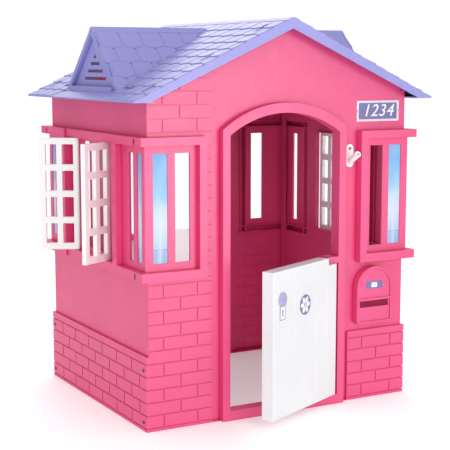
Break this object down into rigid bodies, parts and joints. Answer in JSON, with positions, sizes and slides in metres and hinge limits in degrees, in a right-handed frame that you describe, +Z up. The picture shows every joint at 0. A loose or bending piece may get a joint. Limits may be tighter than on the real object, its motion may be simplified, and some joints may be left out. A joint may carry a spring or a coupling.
{
  "type": "plastic playhouse",
  "caption": "Toddler playhouse with moulded brick walls, a shingled two-piece roof with dormers, arched doorways with half doors, and hinged window shutters.",
  "frame": {"origin": "on the ground, under the middle of the front doorway's threshold, in the plane of the front brick faces", "axes": "+X to the right seen from the front, +Y from the front wall into the house, +Z up"},
  "size_m": [1.0611, 0.9511, 1.1682],
  "materials": {
    "wall": "satin moulded",
    "roof": "semi-gloss moulded",
    "white": "semi-gloss moulded",
    "screw": "zinc plated",
    "sky_sticker": "printed film",
    "purple_sticker": "printed film"
  },
  "bodies": {
    "house": {"front_wall": "wall", "back_wall": "wall", "left_wall": "wall", "right_wall": "wall", "roof_left": "roof", "roof_right": "roof", "flag_holder": "white", "flag_holder_screw": "screw", "corner_screws_front_left": "screw", "corner_screws_front_right": "screw", "corner_screws_rear_left": "screw", "corner_screws_rear_right": "screw", "roof_screws_left": "screw", "roof_screws_right": "screw", "front_window_stickers": "sky_sticker", "back_window_stickers": "sky_sticker", "left_window_stickers": "sky_sticker", "right_window_stickers": "sky_sticker", "house_number_sticker": "purple_sticker", "mailbox_sticker": "purple_sticker"},
    "front_door": {"front_door": "white", "door_knob_sticker": "purple_sticker", "door_badge_sticker": "purple_sticker"},
    "back_door": {"back_door": "white"},
    "left_front_shutter": {"left_front_shutter": "white"},
    "left_rear_shutter": {"left_rear_shutter": "white"},
    "right_front_shutter": {"right_front_shutter": "white"},
    "right_rear_shutter": {"right_rear_shutter": "white"}
  },
  "joints": [
    {"name": "front_door_hinge", "type": "hinge", "parent": "house", "child": "front_door", "pos_m": [0.166, -0.0035, 0], "axis": [0, 0, 1], "range_deg": [-26, 68]},
    {"name": "back_door_hinge", "type": "hinge", "parent": "house", "child": "back_door", "pos_m": [-0.166, 0.7335, 0], "axis": [0, 0, 1], "range_deg": [0, 94]},
    {"name": "left_front_shutter_hinge", "type": "hinge", "parent": "house", "child": "left_front_shutter", "pos_m": [-0.455, 0.248, 0], "axis": [0, 0, 1], "range_deg": [-120, 30]},
    {"name": "left_rear_shutter_hinge", "type": "hinge", "parent": "house", "child": "left_rear_shutter", "pos_m": [-0.455, 0.482, 0], "axis": [0, 0, -1], "range_deg": [-120, 30]},
    {"name": "right_front_shutter_hinge", "type": "hinge", "parent": "house", "child": "right_front_shutter", "pos_m": [0.455, 0.248, 0], "axis": [0, 0, -1], "range_deg": [0, 150]},
    {"name": "right_rear_shutter_hinge", "type": "hinge", "parent": "house", "child": "right_rear_shutter", "pos_m": [0.455, 0.482, 0], "axis": [0, 0, 1], "range_deg": [0, 150]}
  ]
}
